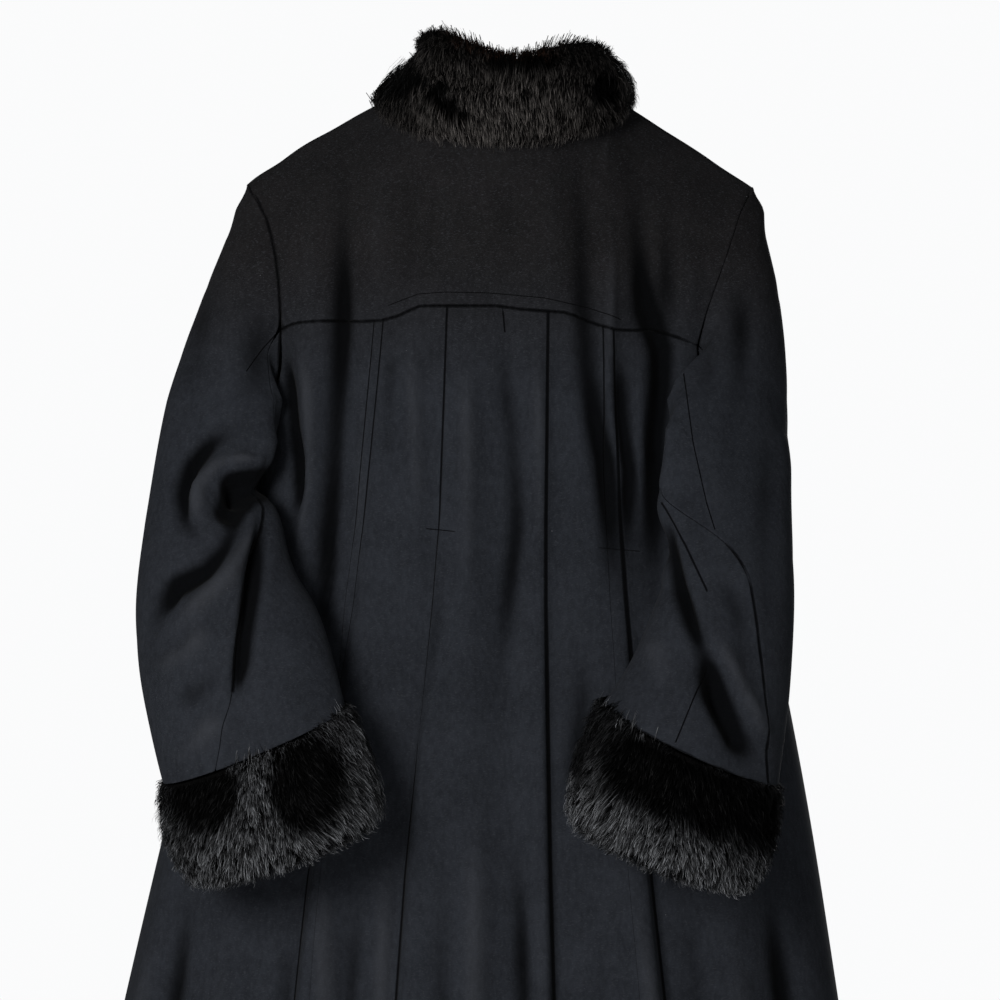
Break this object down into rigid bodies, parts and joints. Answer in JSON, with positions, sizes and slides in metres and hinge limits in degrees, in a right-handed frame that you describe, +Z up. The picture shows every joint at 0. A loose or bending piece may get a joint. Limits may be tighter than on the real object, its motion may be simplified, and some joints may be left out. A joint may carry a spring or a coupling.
{
  "type": "long coat",
  "caption": "Long flared wool coat hanging filled out, with a stand-up fur collar, deep fur cuffs, a back yoke and stitched knife pleats released into a full skirt.",
  "frame": {"origin": "middle of the neck opening, level with the tops of the shoulders, where the coat is held", "axes": "+Z up, +Y out of the wearer's back, +X toward the wearer's left side"},
  "size_m": [0.758, 0.4559, 1.1828],
  "materials": {
    "wool": "matte black wool coating with a short nap",
    "fur": "glossy black long-haired fur"
  },
  "bodies": {
    "root": {"back_yoke": "wool", "back": "wool", "front_left": "wool", "front_right": "wool", "sleeve_left_top": "wool", "sleeve_left_under": "wool", "sleeve_right_top": "wool", "sleeve_right_under": "wool", "collar": "fur", "cuff_left": "fur", "cuff_right": "fur"}
  },
  "joints": []
}
